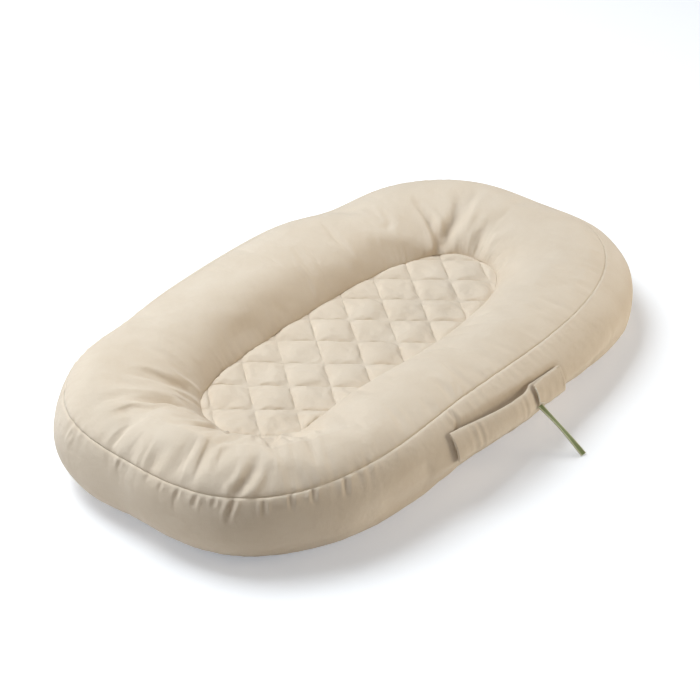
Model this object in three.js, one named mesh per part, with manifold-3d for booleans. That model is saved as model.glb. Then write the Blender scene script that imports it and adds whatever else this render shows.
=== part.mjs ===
// Infant lounger: a fibre-filled oval bolster in a zipped cotton cover, round a quilted centre pad.
// Millimetres. +Z is up, +X runs along the lounger and -Y is the side with the carry handle.
// The head end, at -X, is the higher one. The origin is on the floor under the middle of the whole object.

import * as THREE from 'three';
import Module from 'manifold-3d';
import { mergeVertices } from 'three/addons/utils/BufferGeometryUtils.js';

const wasm = await Module();
wasm.setup();

// Bolster
const loungerLength = 740;
const loungerWidth = 450;
const nestLength = 432;
const nestWidth = 152;
const nestShiftX = -1;
const crownHeight = 103;
const headRise = 13;
const contactFlattening = 4;
const seamInsetHead = 13;
const seamInsetSide = 32;
const seamPinch = 3;
const hemInset = 30;
const headCrownShift = 12;

// Layers and the gaps between separate pieces
const coverThickness = 2;
const linerThickness = 1;
const layerGap = 0.4;
const edgeGap = 0.35;

// Centre pad
const padSeamHeight = 55;
const diamondLength = 56.2;
const diamondWidth = 70;
const quiltShiftX = -6.9;
const quiltShiftY = -1.2;
const puffHeight = 6.5;
const quiltFaceThickness = 1.2;
const battingThickness = 4;
const backingThickness = 1;
const slingThickness = 3;

// Base centre and its zip
const baseCentreHeight = 34;
const baseCentreThickness = 1.6;
const zipEndInset = 33;
const zipSlot = 6.4;
const tapeWidth = 12;
const tapeThickness = 0.8;
const tapeTail = 14;
const teethWidth = 2.6;
const teethHeight = 2;
const stopLength = 3;
const sliderLength = 11;
const sliderWidth = 9;
const sliderThickness = 1.4;
const cheekThickness = 1.2;
const cheekLength = 4;
const pinDiameter = 1.6;
const pullLength = 22;
const pullWidth = 5;
const pullThickness = 1.4;
const pullHeadDiameter = 4.6;
const pullPlay = 0.3;

// Carry handle
const handleWidth = 29;
const handleThickness = 3;
const handleHeadHeight = 85;
const handleFootHeight = 75;
const handleStart = -92;
const handleEnd = 24;
const handleBow = 10;
const handleEndGap = 0.6;
const headPatchLength = 14;
const footPatchLength = 52;

// Side tab
const tabLength = 77;
const tabWidth = 13;
const tabThickness = 1.2;
const tabRootHeight = 62;
const tabRootInset = 11;
const tabSideOffset = 12;
const tabTipLift = 0.5;

// Unit shapes and counts
const planExponent = 2.7;
const nestExponent = 2.5;
const nestFarHeadExponent = 3.3;
const crownExponent = 2.2;
const headSlopeExponent = 1.4;
const underExponent = 2.35;
const equatorShare = 0.45;
const seamBlendShares = [-0.75, -0.1];
const slopeBlendShares = [-0.7, -0.15];
const handleLowBowShare = 0.3;
const handleBowExponent = 4;
const puffExponent = 0.6;
const sectionCount = 56;
const finePerSection = 40;
const topSteps = 7;
const wallSteps = 2;
const slopeSteps = 2;
const sideSteps = 5;
const quiltSteps = 3;
const handleSteps = 12;
const handleRows = 4;
const roundSteps = 20;
const bisections = 40;

// Colours
const cream = 0xe2d5c2;
const fibreWhite = 0xf2f0ea;
const linerWhite = 0xe9e6df;
const sage = 0x9db28f;
const zipCream = 0xd9cfbf;
const nickel = 0xb9bbbd;

const halfLength = loungerLength / 2;
const halfWidth = loungerWidth / 2;
const overrun = loungerLength;

const material = (name, color, roughness, metalness) =>
  new THREE.MeshStandardMaterial({ name, color, roughness, metalness });
const fabric = (name, color) => material(name, color, 0.95, 0);
const coverCotton = fabric('cover_cotton', cream);
const linerCloth = fabric('liner_cloth', linerWhite);
const fibre = fabric('fibre', fibreWhite);
const tabRibbon = fabric('tab_ribbon', sage);
const zipTape = fabric('zip_tape', zipCream);
const zipTeeth = material('zip_teeth', zipCream, 0.5, 0);
const zipMetal = material('zip_metal', nickel, 0.35, 1);

// Point of an oval's plan outline where its outward normal has the given angle.
function ovalPoint(length, width, exponent, angle) {
  const dual = exponent / (exponent - 1);
  const alongX = length * Math.abs(Math.cos(angle));
  const alongY = width * Math.abs(Math.sin(angle));
  const support = (alongX ** dual + alongY ** dual) ** (1 / dual);
  return new THREE.Vector2(
    Math.sign(Math.cos(angle)) * length * (alongX / support) ** (dual - 1),
    Math.sign(Math.sin(angle)) * width * (alongY / support) ** (dual - 1),
  );
}

const outerPoint = (angle) => ovalPoint(halfLength, halfWidth, planExponent, angle);

// The nest is squarer at the far corner of its head end than elsewhere.
function innerPoint(angle) {
  const atFarHead = Math.cos(angle) < 0 && Math.sin(angle) > 0;
  const exponent = atFarHead ? nestFarHeadExponent : nestExponent;
  const point = ovalPoint(nestLength / 2, nestWidth / 2, exponent, angle);
  point.x += nestShiftX;
  return point;
}

// Normal angles that space the bolster's sections about evenly along its middle line.
function sectionAngles() {
  const fine = sectionCount * finePerSection;
  const turn = (i) => (2 * Math.PI * i) / fine;
  const middle = (i) => outerPoint(turn(i)).add(innerPoint(turn(i))).multiplyScalar(1 / 2);
  const travelled = [0];
  for (let i = 1; i <= fine; i += 1) {
    travelled.push(travelled[i - 1] + middle(i).distanceTo(middle(i - 1)));
  }
  const angles = [];
  let reached = 0;
  for (let i = 0; i < sectionCount; i += 1) {
    while (travelled[reached + 1] <= (travelled[fine] * i) / sectionCount) reached += 1;
    angles.push(turn(reached));
  }
  return angles;
}

// The bolster's cross-section at one normal angle: its centre, half-width, direction and heights.
// Round the head end the crown lies further out, and the cloth slopes more gently to the nest.
function sectionAt(angle) {
  const outer = outerPoint(angle);
  const inner = innerPoint(angle);
  const across = outer.clone().sub(inner);
  const centre = outer.add(inner).multiplyScalar(1 / 2);
  const along = centre.x / halfLength;
  const height = crownHeight - headRise * along;
  const blend = THREE.MathUtils.smoothstep(along, seamBlendShares[0], seamBlendShares[1]);
  const slope = 1 - THREE.MathUtils.smoothstep(along, slopeBlendShares[0], slopeBlendShares[1]);
  return {
    centre,
    half: across.length() / 2,
    direction: across.normalize(),
    height,
    equator: height * equatorShare,
    seamInset: THREE.MathUtils.lerp(seamInsetHead, seamInsetSide, blend),
    crownShift: headCrownShift * slope,
    innerExponent: THREE.MathUtils.lerp(crownExponent, headSlopeExponent, slope),
  };
}

// Point that lies a depth under the bolster's outside. Roll 0 is the outer edge, a quarter turn
// the crown, half a turn the nest's edge and three quarters the floor.
function bolsterPoint(at, roll, depth) {
  const c = Math.cos(roll);
  const s = Math.sin(roll);
  const upperExponent = c >= 0 ? crownExponent : at.innerExponent;
  const exponent = s >= 0 ? upperExponent : underExponent;
  const shift = s >= 0 ? at.crownShift : 0;
  const reach = at.half - depth - Math.sign(c) * shift;
  const out = shift + Math.sign(c) * Math.abs(c) ** (2 / exponent) * reach;
  const lift = Math.abs(s) ** (2 / exponent);
  const crown = at.equator + (at.height - at.equator - depth) * lift;
  const under = Math.max(depth, at.equator - (at.equator + contactFlattening - depth) * lift);
  return new THREE.Vector3(
    at.centre.x + at.direction.x * out,
    at.centre.y + at.direction.y * out,
    s >= 0 ? crown : under,
  );
}

// Rolls at which the surface has a given inset from the outer edge, or a given height at some depth.
const rollOfInset = (inset, reach, exponent) => Math.acos((1 - inset / reach) ** (exponent / 2));
const rollOfRise = (at, z, depth, exponent) =>
  Math.asin(((z - at.equator) / (at.height - at.equator - depth)) ** (exponent / 2));
const rollOfDrop = (at, z, depth = 0) =>
  Math.asin(((at.equator - z) / (at.equator + contactFlattening - depth)) ** (underExponent / 2));

const outerSeamRoll = (at) => rollOfInset(at.seamInset, at.half - at.crownShift, crownExponent);
const padSeamRoll = (at) =>
  Math.PI - rollOfRise(at, Math.max(padSeamHeight, at.equator), 0, at.innerExponent);
const baseEdgeRoll = (at) => Math.PI + rollOfDrop(at, baseCentreHeight);
const hemRoll = (at) => 2 * Math.PI - rollOfInset(hemInset, at.half, underExponent);

// The rows that every layer shares: over the crown from the outer seam to the pad's seam, down the
// nest's wall, under the base to the hem, and up the side to the outer seam again.
function rowRolls(at) {
  const nodes = [
    [outerSeamRoll(at), topSteps],
    [padSeamRoll(at), wallSteps],
    [baseEdgeRoll(at), slopeSteps],
    [Math.PI + rollOfDrop(at, 0), 1],
    [2 * Math.PI - rollOfDrop(at, 0), 1],
    [hemRoll(at), sideSteps],
    [2 * Math.PI + outerSeamRoll(at), 0],
  ];
  const rolls = [];
  nodes.forEach(([start, steps], i) => {
    for (let k = 0; k < steps; k += 1) rolls.push(start + ((nodes[i + 1][0] - start) * k) / steps);
  });
  rolls.push(nodes[nodes.length - 1][0]);
  return rolls;
}

const padSeamRow = topSteps;
const baseEdgeRow = padSeamRow + wallSteps;
const hemRow = baseEdgeRow + slopeSteps + 2;
const lastRow = hemRow + sideSteps;
const sections = sectionAngles().map(sectionAt);

function meshOf(name, geometry, finish) {
  geometry.computeVertexNormals();
  const mesh = new THREE.Mesh(geometry, finish);
  mesh.name = name;
  return mesh;
}

// A closed ring through one loop of points for each section. The points after the first outsideCount
// run back along the inner face, so their quads are split the other way and nested faces stay parallel.
function ringGeometry(loops, outsideCount) {
  const size = loops[0].length;
  const index = [];
  loops.forEach((loop, i) => {
    const next = (i + 1) % loops.length;
    loop.forEach((_, j) => {
      const after = (j + 1) % size;
      const a = i * size + j;
      const b = next * size + j;
      const c = next * size + after;
      const d = i * size + after;
      if (j < outsideCount) index.push(a, b, c, a, c, d);
      else index.push(a, b, d, b, c, d);
    });
  });
  const geometry = new THREE.BufferGeometry().setFromPoints(loops.flat());
  geometry.setIndex(index);
  return geometry;
}

// Seam rows are drawn in, so that the cover has a groove along its outer seam.
const drawnIn = (row) => (row % lastRow === 0 ? seamPinch : 0);

// A layer of the bolster between two rows. A sewn edge stops half a gap short of its row.
function layerRing(fromRow, toRow, depth, thickness) {
  const loops = sections.map((at) => {
    const rolls = rowRolls(at);
    const back = edgeGap / at.half / 2;
    const outside = [];
    const inside = [];
    for (let row = fromRow; row <= toRow; row += 1) {
      const trim = (row === fromRow ? back : 0) - (row === toRow ? back : 0);
      const outerDepth = depth + drawnIn(row);
      outside.push(bolsterPoint(at, rolls[row] + trim, outerDepth));
      inside.unshift(bolsterPoint(at, rolls[row] + trim, outerDepth + thickness));
    }
    return [...outside, ...inside];
  });
  return ringGeometry(loops, loops[0].length / 2);
}

// Solids for cutting and joining
function solid(geometry) {
  const bare = geometry.clone();
  bare.deleteAttribute('normal');
  bare.deleteAttribute('uv');
  const merged = mergeVertices(bare);
  return new wasm.Manifold(new wasm.Mesh({
    numProp: 3,
    vertProperties: new Float32Array(merged.attributes.position.array),
    triVerts: new Uint32Array(merged.index.array),
  }));
}

function geometryOf(manifold) {
  const { vertProperties, triVerts } = manifold.getMesh();
  const geometry = new THREE.BufferGeometry();
  geometry.setAttribute('position', new THREE.BufferAttribute(new Float32Array(vertProperties), 3));
  geometry.setIndex(new THREE.BufferAttribute(new Uint32Array(triVerts), 1));
  return geometry;
}

function box(x0, x1, y0, y1, z0, z1) {
  const geometry = new THREE.BoxGeometry(x1 - x0, y1 - y0, z1 - z0);
  return geometry.translate((x0 + x1) / 2, (y0 + y1) / 2, (z0 + z1) / 2);
}

// A flat plate with one outline point for each section.
function plate(outlineOf, z0, z1) {
  const shape = new THREE.Shape(sections.map(outlineOf));
  return new THREE.ExtrudeGeometry(shape, { depth: z1 - z0, bevelEnabled: false }).translate(0, 0, z0);
}

const padOutline = (at) => bolsterPoint(at, padSeamRoll(at), -edgeGap);

// Bolster layers
const linerDepth = coverThickness + layerGap;
const fillDepth = linerDepth + linerThickness + layerGap;

function fillRing() {
  const loops = sections.map((at) =>
    rowRolls(at).slice(0, lastRow).map((roll, row) => bolsterPoint(at, roll, fillDepth + drawnIn(row))));
  return meshOf('fibre_fill_ring', ringGeometry(loops, lastRow), fibre);
}

const coverTopPanel = () =>
  meshOf('cover_top_panel', layerRing(0, padSeamRow, 0, coverThickness), coverCotton);
const coverSidePanel = () =>
  meshOf('cover_side_panel', layerRing(hemRow, lastRow, 0, coverThickness), coverCotton);
const coverBaseRing = () =>
  meshOf('cover_base_ring', layerRing(baseEdgeRow, hemRow, 0, coverThickness), coverCotton);
const linerTop = () =>
  meshOf('liner_top', layerRing(0, padSeamRow, linerDepth, linerThickness), linerCloth);
const linerBottom = () =>
  meshOf('liner_bottom', layerRing(baseEdgeRow, lastRow, linerDepth, linerThickness), linerCloth);

// Centre pad
const faceUnderside = padSeamHeight - quiltFaceThickness;
const battingTop = faceUnderside - layerGap;
const battingUnderside = battingTop - battingThickness;
const backingTop = battingUnderside - layerGap;
const slingTop = backingTop - backingThickness - layerGap;

// A sheet of diamond puffs, cut to the pad's outline. Its rows run along the stitch lines.
function quiltedSheet(zTop, zBottom, puffedBelow) {
  const stepX = diamondLength / 2 / quiltSteps;
  const stepY = diamondWidth / 2 / quiltSteps;
  const reach = Math.ceil((nestLength / diamondLength + nestWidth / diamondWidth) / 2) + 1;
  const last = reach * quiltSteps;
  const across = (k) => Math.abs(Math.sin((Math.PI * k) / quiltSteps)) ** puffExponent;
  const points = [];
  const lower = [];
  const number = new Map();
  for (let i = -last; i <= last; i += 1) {
    for (let j = -last; j <= last; j += 1) {
      const x = quiltShiftX + stepX * (i + j);
      const y = quiltShiftY + stepY * (i - j);
      if (Math.abs(x) > nestLength / 2 + diamondLength) continue;
      if (Math.abs(y) > nestWidth / 2 + diamondWidth) continue;
      const puff = puffHeight * across(i) * across(j);
      number.set(`${i},${j}`, points.length);
      points.push(new THREE.Vector3(x, y, zTop + puff));
      lower.push(new THREE.Vector3(x, y, zBottom + (puffedBelow ? puff : 0)));
    }
  }
  const faces = [];
  number.forEach((a, key) => {
    const [i, j] = key.split(',').map(Number);
    const b = number.get(`${i + 1},${j}`);
    const c = number.get(`${i + 1},${j + 1}`);
    const d = number.get(`${i},${j + 1}`);
    if (b !== undefined && c !== undefined && d !== undefined) faces.push([a, c, b], [a, d, c]);
  });
  const edges = new Map();
  faces.forEach((face) => face.forEach((from, k) => edges.set(`${from},${face[(k + 1) % 3]}`, true)));
  const index = faces.flat();
  const below = points.length;
  faces.forEach(([a, b, c]) => index.push(below + a, below + c, below + b));
  edges.forEach((_, key) => {
    const [from, to] = key.split(',').map(Number);
    if (!edges.has(`${to},${from}`)) index.push(from, below + from, below + to, from, below + to, to);
  });
  const geometry = new THREE.BufferGeometry().setFromPoints([...points, ...lower]);
  geometry.setIndex(index);
  const outline = plate(padOutline, zBottom - puffHeight, zTop + 2 * puffHeight);
  return geometryOf(solid(geometry).intersect(solid(outline)));
}

const quiltFace = () => meshOf('quilt_face', quiltedSheet(padSeamHeight, faceUnderside, true), coverCotton);
const quiltBatting = () => meshOf('quilt_batting', quiltedSheet(battingTop, battingUnderside, false), fibre);
const quiltBacking = () =>
  meshOf('quilt_backing', plate(padOutline, backingTop - backingThickness, backingTop), linerCloth);

function insertSling() {
  const outline = (at) => bolsterPoint(at, Math.PI, fillDepth - edgeGap);
  return meshOf('insert_sling', plate(outline, slingTop - slingThickness, slingTop), linerCloth);
}

// Base centre, in two halves each side of the zip, which stops short of the nearer end
const baseOutline = (at) => bolsterPoint(at, baseEdgeRoll(at), -edgeGap);
const baseReach = (angle) => Math.abs(baseOutline(sectionAt(angle)).x);
const zipLength = 2 * (Math.min(baseReach(0), baseReach(Math.PI)) - zipEndInset);

function baseCentre(name, side) {
  const z1 = baseCentreHeight + baseCentreThickness;
  const whole = solid(plate(baseOutline, baseCentreHeight, z1));
  const half = side < 0
    ? box(-overrun, overrun, -overrun, -edgeGap / 2, 0, overrun)
    : box(-overrun, overrun, edgeGap / 2, overrun, 0, overrun);
  const slotEnd = zipLength / 2 + stopLength + 2 * edgeGap;
  const slot = box(-slotEnd, slotEnd, -zipSlot / 2, zipSlot / 2, 0, overrun);
  return meshOf(name, geometryOf(whole.intersect(solid(half)).subtract(solid(slot))), coverCotton);
}

// Zip. Its teeth lie in the slot and its tapes on the inside of the panels' edges.
const teethTop = baseCentreHeight + baseCentreThickness;
const teethBottom = teethTop - teethHeight;
const sliderTop = teethBottom - edgeGap;
const sliderBottom = sliderTop - sliderThickness;
const closedX = zipLength / 2 - sliderLength / 2 - edgeGap;
const pinDrop = pullHeadDiameter / 2 + pullPlay;

function zipSide(name, finish, side, width, length, z0, z1) {
  const inner = edgeGap / 2;
  const y = [side * inner, side * (inner + width)].sort((a, b) => a - b);
  return meshOf(name, box(-length / 2, length / 2, y[0], y[1], z0, z1), finish);
}

function zipStop(name, side) {
  const inner = zipLength / 2 + edgeGap;
  const x = [side * inner, side * (inner + stopLength)].sort((a, b) => a - b);
  const reach = edgeGap / 2 + teethWidth;
  return meshOf(name, box(x[0], x[1], -reach, reach, sliderBottom, teethTop), zipMetal);
}

const crossCylinder = (diameter, width) =>
  new THREE.CylinderGeometry(diameter / 2, diameter / 2, width, roundSteps);

// The slider's outer wing, with two cheeks under it that carry the pull's pin.
function zipSlider() {
  const cheekFrom = pullWidth / 2 + pullPlay;
  const cheekTo = cheekFrom + cheekThickness;
  const cheekBottom = -pinDrop - pinDiameter;
  const overlap = sliderThickness / 2;
  const x = sliderLength / 2;
  const y = sliderWidth / 2;
  let body = solid(box(-x, x, -y, y, 0, sliderThickness));
  body = body.add(solid(box(-cheekLength / 2, cheekLength / 2, cheekFrom, cheekTo, cheekBottom, overlap)));
  body = body.add(solid(box(-cheekLength / 2, cheekLength / 2, -cheekTo, -cheekFrom, cheekBottom, overlap)));
  body = body.add(solid(crossCylinder(pinDiameter, cheekFrom + cheekTo).translate(0, 0, -pinDrop)));
  const mesh = meshOf('zip_slider', geometryOf(body), zipMetal);
  mesh.position.set(closedX, 0, sliderBottom);
  return mesh;
}

// The pull hangs from the pin by its eye.
function zipPull() {
  const strip = box(-pullThickness / 2, pullThickness / 2, -pullWidth / 2, pullWidth / 2, -pullLength, 0);
  const eye = crossCylinder(pinDiameter + 2 * pullPlay, 2 * pullWidth);
  const body = solid(crossCylinder(pullHeadDiameter, pullWidth)).add(solid(strip)).subtract(solid(eye));
  const mesh = meshOf('zip_pull', geometryOf(body), zipMetal);
  mesh.position.set(closedX, 0, sliderBottom - pinDrop);
  return mesh;
}

// Point on the near side wall, standing off it, at a given height and place along the lounger.
function wallPoint(x, z, standOff) {
  const pointAt = (angle) => {
    const at = sectionAt(angle);
    const rise = () => rollOfRise(at, z, -standOff, crownExponent);
    const roll = z >= at.equator ? rise() : -rollOfDrop(at, z, -standOff);
    return bolsterPoint(at, roll, -standOff);
  };
  let low = Math.PI;
  let high = 2 * Math.PI;
  for (let i = 0; i < bisections; i += 1) {
    const middle = (low + high) / 2;
    if (pointAt(middle).x < x) low = middle;
    else high = middle;
  }
  return pointAt(low);
}

// The handle's ends. Its top edge falls evenly from the head patch to the foot patch.
const headPatchEnd = handleStart - handleEndGap;
const headPatchStart = headPatchEnd - headPatchLength;
const footPatchStart = handleEnd + handleEndGap;
const footPatchEnd = footPatchStart + footPatchLength;
const handleTop = (x) =>
  THREE.MathUtils.mapLinear(x, headPatchStart, footPatchEnd, handleHeadHeight, handleFootHeight);

// A strip of the handle on the side wall. It stands off by the bow in its middle, most at its top.
function wallStrip(x0, x1, columns, bow) {
  const loops = [];
  for (let i = 0; i <= columns; i += 1) {
    const x = x0 + ((x1 - x0) * i) / columns;
    const out = bow * (1 - Math.abs((2 * i) / columns - 1) ** handleBowExponent);
    const inner = [];
    const outer = [];
    for (let j = 0; j <= handleRows; j += 1) {
      const z = handleTop(x) - handleWidth * (1 - j / handleRows);
      const lean = THREE.MathUtils.lerp(handleLowBowShare, 1, j / handleRows);
      const y = wallPoint(x, z, edgeGap).y - out * lean;
      inner.push(new THREE.Vector3(x, y, z));
      outer.unshift(new THREE.Vector3(x, y - handleThickness, z));
    }
    loops.push([...inner, ...outer]);
  }
  const size = loops[0].length;
  const index = [];
  for (let i = 0; i < columns; i += 1) {
    for (let j = 0; j < size; j += 1) {
      const a = i * size + j;
      const b = i * size + ((j + 1) % size);
      index.push(a, b + size, a + size, a, b, b + size);
    }
  }
  for (let j = 0; j < handleRows; j += 1) {
    const across = size - 1 - j;
    const end = columns * size;
    index.push(j, across, j + 1, j + 1, across, across - 1);
    index.push(end + j, end + j + 1, end + across, end + j + 1, end + across - 1, end + across);
  }
  const geometry = new THREE.BufferGeometry().setFromPoints(loops.flat());
  geometry.setIndex(index);
  return geometry;
}

const handleStrap = () =>
  meshOf('handle_strap', wallStrip(handleStart, handleEnd, handleSteps, handleBow), coverCotton);
const handlePatchHead = () =>
  meshOf('handle_patch_head', wallStrip(headPatchStart, headPatchEnd, 1, 0), coverCotton);
const handlePatchFoot = () =>
  meshOf('handle_patch_foot', wallStrip(footPatchStart, footPatchEnd, 2, 0), coverCotton);

// Side tab. Its root is at the foot patch and it slopes out and down to the floor.
const tabRoot = wallPoint(footPatchStart + tabRootInset, tabRootHeight, edgeGap);
tabRoot.y -= handleThickness + edgeGap + tabThickness / 2;
const tabDroop = Math.asin((tabRootHeight - tabTipLift - tabThickness / 2) / tabLength);

function sideTab() {
  const outline = new THREE.Shape([
    new THREE.Vector2(-tabWidth / 2, 0),
    new THREE.Vector2(-tabWidth / 2 + tabSideOffset, -tabLength),
    new THREE.Vector2(tabWidth / 2 + tabSideOffset, -tabLength),
    new THREE.Vector2(tabWidth / 2, 0),
  ]);
  const ribbon = new THREE.ExtrudeGeometry(outline, { depth: tabThickness, bevelEnabled: false });
  const mesh = meshOf('side_tab', ribbon.translate(0, 0, -tabThickness / 2), tabRibbon);
  mesh.rotation.x = tabDroop;
  mesh.position.copy(tabRoot);
  return mesh;
}

const nearExtent = tabLength * Math.cos(tabDroop) - tabRoot.y;

const lounger = new THREE.Group();
lounger.position.y = (nearExtent - halfWidth) / 2;
lounger.add(
  fillRing(),
  linerTop(),
  linerBottom(),
  insertSling(),
  quiltBacking(),
  quiltBatting(),
  quiltFace(),
  coverTopPanel(),
  coverSidePanel(),
  coverBaseRing(),
  baseCentre('base_centre_near', -1),
  baseCentre('base_centre_far', 1),
);
const tapeLength = zipLength + 2 * tapeTail;
const tapeBottom = teethTop + edgeGap;
const tapeTop = tapeBottom + tapeThickness;
[['near', -1], ['far', 1]].forEach(([place, side]) => {
  lounger.add(
    zipSide(`zip_tape_${place}`, zipTape, side, tapeWidth, tapeLength, tapeBottom, tapeTop),
    zipSide(`zip_teeth_${place}`, zipTeeth, side, teethWidth, zipLength, teethBottom, teethTop),
  );
});
lounger.add(
  zipStop('zip_stop_head', -1),
  zipStop('zip_stop_foot', 1),
  zipSlider(),
  zipPull(),
  handlePatchHead(),
  handleStrap(),
  handlePatchFoot(),
  sideTab(),
);

export default lounger;
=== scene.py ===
"""Infant lounger: the cloth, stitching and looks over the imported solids, in metres."""

import itertools
import math

import bmesh
import bpy
import numpy as np
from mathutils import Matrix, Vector
from mathutils.kdtree import KDTree


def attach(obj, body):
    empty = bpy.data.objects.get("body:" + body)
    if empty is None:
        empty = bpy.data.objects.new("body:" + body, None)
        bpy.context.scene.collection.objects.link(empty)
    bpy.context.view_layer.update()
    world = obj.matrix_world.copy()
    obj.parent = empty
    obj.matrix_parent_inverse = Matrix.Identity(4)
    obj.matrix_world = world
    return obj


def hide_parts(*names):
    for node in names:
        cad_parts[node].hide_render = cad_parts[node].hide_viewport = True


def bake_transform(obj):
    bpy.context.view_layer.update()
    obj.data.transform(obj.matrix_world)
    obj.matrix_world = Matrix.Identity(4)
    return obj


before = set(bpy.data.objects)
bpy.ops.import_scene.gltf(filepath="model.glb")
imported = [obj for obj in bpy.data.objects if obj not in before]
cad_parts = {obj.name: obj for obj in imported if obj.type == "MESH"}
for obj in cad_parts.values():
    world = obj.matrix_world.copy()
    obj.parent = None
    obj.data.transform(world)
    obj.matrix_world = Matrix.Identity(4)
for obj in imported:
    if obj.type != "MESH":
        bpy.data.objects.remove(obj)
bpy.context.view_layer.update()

MM = 0.001

# Sizes of the solids, in millimetres
HALF_LENGTH, HALF_WIDTH = 370.0, 225.0
NEST_HALF_LENGTH, NEST_HALF_WIDTH, NEST_SHIFT_X = 216.0, 76.0, -1.0
CROWN_HEIGHT, HEAD_RISE = 103.0, 13.0
CONTACT_FLATTENING = 4.0
HEAD_CROWN_SHIFT = 12.0
EQUATOR_SHARE = 0.45
PLAN_EXPONENT, NEST_EXPONENT, NEST_FAR_HEAD_EXPONENT = 2.7, 2.5, 3.3
CROWN_EXPONENT, HEAD_SLOPE_EXPONENT, UNDER_EXPONENT = 2.2, 1.4, 2.35
SEAM_INSET_HEAD, SEAM_INSET_SIDE = 13.0, 32.0
SEAM_BLEND, SLOPE_BLEND = (-0.75, -0.1), (-0.7, -0.15)
HEM_INSET = 30.0
PAD_SEAM_HEIGHT = 55.0
BASE_CENTRE_HEIGHT = 34.0
SIDE_SHIFT = 24.537

DIAMOND_LENGTH, DIAMOND_WIDTH = 56.2, 70.0
QUILT_X, QUILT_Y = -6.9, -1.2

ZIP_LENGTH = 364.32
TAPE_LENGTH, TAPE_WIDTH = 392.32, 12.0

HANDLE_WIDTH = 29.0
HANDLE_HEAD_HEIGHT, HANDLE_FOOT_HEIGHT = 85.0, 75.0
HANDLE_START, HANDLE_END = -92.0, 24.0
HEAD_PATCH_START, FOOT_PATCH_END = -106.6, 76.6
PATCH_GAP = 0.6

TAB_ROOT = (35.6, -202.418, 62.0)
TAB_TIP = (47.6, -249.4, 1.4)

# Mesh steps, which are closer at the head end's pleats and at the quilt's stitch lines
SECTIONS, CLOTH_SECTIONS, HEAD_DENSITY = 780, 520, 2.6
TOP_ROWS, BASE_ROWS, SIDE_ROWS = 68, 34, 40
ROLL_STEPS = 160
QUILT_STEPS, QUILT_CLOSENESS = 24, 0.7

# Where the cloth lies more slackly than the solids: the nest's near corner at the head end, and the
# near side's inner wall, which is fuller
CORNER, CORNER_REACH, CORNER_EXPONENT = (-205.0, -34.0), (35.0, 95.0), 1.02
FULL_WALL_SHIFT = 9.0

# Cloth settling, with this many levels of its points' weights
SLACK = 1.2
FRAMES, SPARE_MOST, WEIGHT_LEVELS = 18, 0.08, 40
CLOTH_SETTINGS = {
    "quality": 4, "mass": 0.15, "tension_stiffness": 15, "compression_stiffness": 15,
    "shear_stiffness": 8, "bending_stiffness": 0.35, "air_damping": 1.5, "pin_stiffness": 1.0,
    "vertex_group_mass": "held", "vertex_group_shrink": "tight", "shrink_min": -SPARE_MOST,
    "shrink_max": 0.0, "use_pressure": True, "uniform_pressure_force": 4.0,
}


def oval(half_x, half_y, exponent, angle):
    dual = exponent / (exponent - 1)
    ax = half_x * np.abs(np.cos(angle))
    ay = half_y * np.abs(np.sin(angle))
    support = (ax ** dual + ay ** dual) ** (1 / dual)
    x = np.sign(np.cos(angle)) * half_x * (ax / support) ** (dual - 1)
    y = np.sign(np.sin(angle)) * half_y * (ay / support) ** (dual - 1)
    return np.stack([x, y], -1)


def outer_outline(angle):
    return oval(HALF_LENGTH, HALF_WIDTH, PLAN_EXPONENT, angle)


def nest_outline(angle):
    far_head = (np.cos(angle) < 0) & (np.sin(angle) > 0)
    exponent = np.where(far_head, NEST_FAR_HEAD_EXPONENT, NEST_EXPONENT)
    return oval(NEST_HALF_LENGTH, NEST_HALF_WIDTH, exponent, angle) + (NEST_SHIFT_X, 0.0)


def smoothstep(a, b, x):
    t = np.clip((x - a) / (b - a), 0, 1)
    return t * t * (3 - 2 * t)


def lerp(a, b, t):
    return a + (b - a) * t


def unit(vectors):
    return vectors / np.linalg.norm(vectors, axis=-1, keepdims=True)


def distances(path):
    """Distance along a row of points, or along each of several rows, from its first point."""
    steps = np.linalg.norm(np.diff(path, axis=-2), axis=-1)
    return np.concatenate([np.zeros_like(steps[..., :1]), np.cumsum(steps, axis=-1)], axis=-1)


def inset_roll(inset, reach, exponent):
    return np.arccos((1 - inset / reach) ** (exponent / 2))


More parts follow.
